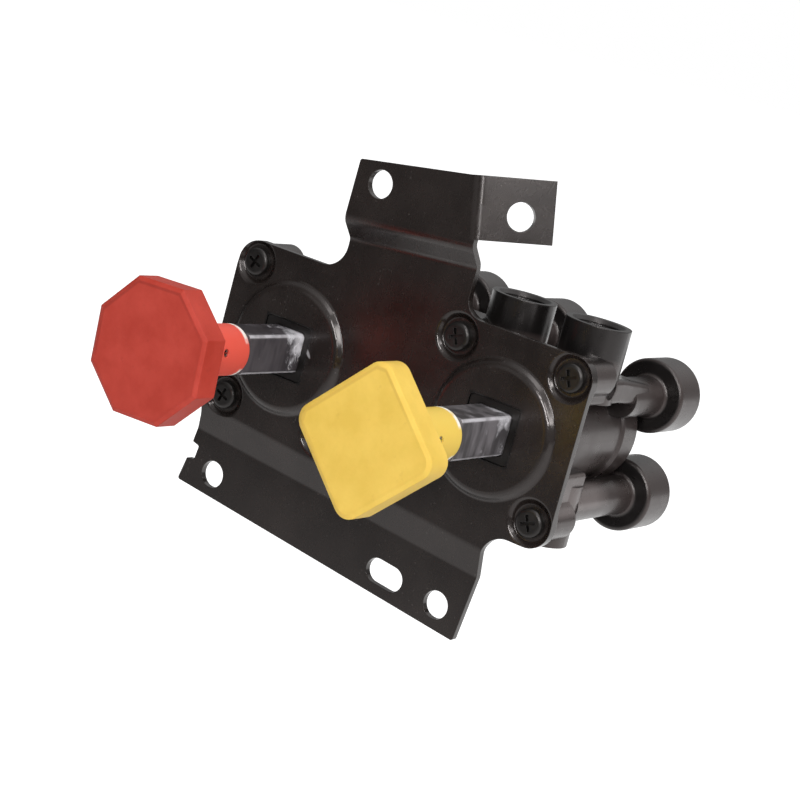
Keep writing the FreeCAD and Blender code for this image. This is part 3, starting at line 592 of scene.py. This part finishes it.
yellow_bar = greased_bar("yellow_stem_bar", half_pitch, 0.4, (0.080, 0.074, 0.077), (0.200, 0.185, 0.195))
paint(red_bar, "red_stem")
paint(yellow_bar, "yellow_stem")
paint(black_screw, "cover_screws")
paint(fibre, "cover_gasket")
paint(rubber, "gallery_plug_seal", "shuttle_disc")
paint(steel, "gallery_plug")
paint(brass, "shuttle_seat_near", "shuttle_seat_far")
for side in ("red", "yellow"):
    paint(black_moulding, side + "_stem_guide")
    paint(rubber, side + "_piston_seal", side + "_spool_seals", side + "_sleeve_seals")
    paint(steel, side + "_knob_pin", side + "_stem_nut", side + "_spring")
    paint(aluminium, side + "_piston", side + "_spool")
    paint(brass, side + "_sleeve")


# Threads inside the ports, which the solids leave plain
def thread(name, port):
    """A V-shaped ridge that winds along the wall of a threaded hole, inwards from its open end."""
    axis = -Vector(port["axis"])
    length = port["dims"]["length_mm"] * millimetre
    radius = port["dims"]["r_mm"] * millimetre
    open_end = Vector(port["pos_m"]) - axis * (length / 2)
    first = axis.orthogonal().normalized()
    second = axis.cross(first)
    wall = radius + thread_height * thread_sunk
    half = thread_pitch * thread_foot
    count = round(thread_share * length / thread_pitch) * thread_steps
    mesh = bmesh.new()
    before = None
    for index in range(count + 1):
        angle = 2 * math.pi * index / thread_steps
        fade = min(1.0, index / thread_steps, (count - index) / thread_steps)
        along = thread_start + thread_pitch * index / thread_steps
        outward = first * math.cos(angle) + second * math.sin(angle)
        centre = open_end + axis * along
        crest = radius - thread_height * fade
        ring = [
            mesh.verts.new(centre + outward * wall - axis * half),
            mesh.verts.new(centre + outward * crest - axis * half * thread_crest),
            mesh.verts.new(centre + outward * crest + axis * half * thread_crest),
            mesh.verts.new(centre + outward * wall + axis * half),
        ]
        if before:
            for corner in range(4):
                follow = (corner + 1) % 4
                mesh.faces.new((before[corner], before[follow], ring[follow], ring[corner]))
        else:
            mesh.faces.new(ring)
        before = ring
    mesh.faces.new(before[::-1])
    bmesh.ops.recalc_face_normals(mesh, faces=mesh.faces)
    data = bpy.data.meshes.new(name)
    mesh.to_mesh(data)
    mesh.free()
    data.materials.append(cast_black)
    piece = bpy.data.objects.new(name, data)
    scene.collection.objects.link(piece)
    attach(piece, "housing")


mounts = {mount["name"]: mount for mount in frame["record"]["mounts"]}
thread("thread_top_near", mounts["top_port_near"])
thread("thread_top_far", mounts["top_port_far"])
thread("thread_exhaust", mounts["exhaust_port"])
thread("thread_upper_right", mounts["rear_port_upper_right"])
thread("thread_lower_right", mounts["rear_port_lower_right"])
thread("thread_inner_right", mounts["rear_port_inner_right"])
thread("thread_inner_left", mounts["rear_port_inner_left"])


# Springs: copies of the imported springs, held by the housing
def coil(side):
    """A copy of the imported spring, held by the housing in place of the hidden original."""
    piece = bpy.data.objects.new(side + "_coil", nodes[side + "_spring"].data.copy())
    piece.matrix_world = nodes[side + "_spring"].matrix_world
    scene.collection.objects.link(piece)
    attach(piece, "housing")
    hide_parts(side + "_spring")
    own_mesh(piece)


coil("red")
coil("yellow")


# Studio light, floor and camera
def area_light(name, place, width, height, watts, turn=0):
    """A softbox aimed at the object and turned about its own axis, in metres, watts and degrees."""
    light = bpy.data.lights.new(name, "AREA")
    light.shape = "RECTANGLE"
    light.size = width
    light.size_y = height
    light.energy = watts
    lamp = bpy.data.objects.new(name, light)
    lamp.location = place
    aim = (-Vector(place)).to_track_quat("-Z", "Y")
    lamp.rotation_euler = (aim @ Quaternion((0, 0, 1), math.radians(turn))).to_euler()
    scene.collection.objects.link(lamp)


def world_light():
    """Light from above and behind, dim at the front left, so that black paint keeps its depth."""
    world = bpy.data.worlds.new("studio")
    scene.world = world
    world.use_nodes = True
    graph = Graph(world.node_tree)
    background = graph.tree.nodes["Background"]
    background.inputs["Color"].default_value = (1, 1, 1, 1)
    coords = graph.node("ShaderNodeTexCoord").outputs["Generated"]
    height = graph.dot(coords, (0, 0, 1))
    overhead = graph.span(height, sky_from, sky_to, band_light, sky_light, "SMOOTHSTEP")
    side = graph.dot(coords, Vector(dim_side).normalized())
    screen = graph.span(side, 0.0, dim_to, 1.0, dim_light, "SMOOTHSTEP")
    path = graph.node("ShaderNodeLightPath")
    pick = graph.node("ShaderNodeMix", data_type="FLOAT")
    graph.join(path.outputs["Is Camera Ray"], pick.inputs[0])
    graph.join(graph.product(overhead, screen), pick.inputs[2])
    pick.inputs[3].default_value = 1.0
    graph.join(pick.outputs[0], background.inputs["Strength"])


def floor():
    """Pale floor, white to the camera, and in reflections bright behind the object and dim in front."""
    bpy.ops.mesh.primitive_plane_add(size=floor_size, location=(0, 0, floor_height))
    plane = bpy.context.object
    plane.name = "floor"
    material = bpy.data.materials.new("pale_floor")
    material.use_nodes = True
    graph = Graph(material.node_tree)
    surface = graph.tree.nodes["Principled BSDF"]
    surface.inputs["Base Color"].default_value = floor_colour
    surface.inputs["Roughness"].default_value = floor_roughness
    surface.inputs["Specular IOR Level"].default_value = 0.0
    path = graph.node("ShaderNodeLightPath")
    place = graph.node("ShaderNodeNewGeometry").outputs["Position"]
    way = graph.dot(place, bright_way)
    glow = graph.span(way, bright_from, bright_to, dim_floor, bright_floor, "SMOOTHSTEP")
    mirrored = graph.node("ShaderNodeEmission")
    graph.join(glow, mirrored.inputs["Strength"])
    white = graph.node("ShaderNodeEmission")
    graph.join(graph.product(path.outputs["Is Camera Ray"], floor_white), white.inputs["Strength"])
    seen = graph.node("ShaderNodeAddShader")
    graph.join(surface.outputs[0], seen.inputs[0])
    graph.join(white.outputs[0], seen.inputs[1])
    either = graph.node("ShaderNodeMixShader")
    graph.join(path.outputs["Is Glossy Ray"], either.inputs[0])
    graph.join(seen.outputs[0], either.inputs[1])
    graph.join(mirrored.outputs[0], either.inputs[2])
    graph.join(either.outputs[0], graph.tree.nodes["Material Output"].inputs["Surface"])
    plane.data.materials.append(material)


def camera():
    """Camera at the photograph's viewing angle, rolled as the photograph is."""
    azimuth = math.radians(camera_azimuth)
    elevation = math.radians(camera_elevation)
    roll = math.radians(camera_roll)
    back = Vector((
        math.sin(azimuth) * math.cos(elevation),
        -math.cos(azimuth) * math.cos(elevation),
        math.sin(elevation),
    ))
    level = Vector((math.cos(azimuth), math.sin(azimuth), 0))
    upright = back.cross(level)
    right = level * math.cos(roll) - upright * math.sin(roll)
    up = level * math.sin(roll) + upright * math.cos(roll)
    lens = bpy.data.cameras.new("camera")
    lens.sensor_width = sensor
    lens.lens = focal_pixels * sensor / picture_width
    lens.clip_start = camera_near
    eye = bpy.data.objects.new("camera", lens)
    place = Matrix((right, up, back)).transposed().to_4x4()
    place.translation = camera_target + back * camera_distance
    eye.matrix_world = place
    scene.collection.objects.link(eye)
    scene.camera = eye


world_light()
area_light("strip_softbox", place=(0.54, -0.94, 0.52), width=0.11, height=0.75, watts=6.2, turn=28)
area_light("right_softbox", place=(0.80, -0.56, 0.56), width=0.16, height=0.55, watts=2.8, turn=33)
area_light("top_softbox", place=(0.30, -0.25, 1.10), width=0.5, height=0.5, watts=2.0)
area_light("front_fill", place=(-0.25, -1.10, 0.35), width=0.8, height=0.8, watts=0.9)
floor()
camera()
scene.view_settings.view_transform = "Standard"
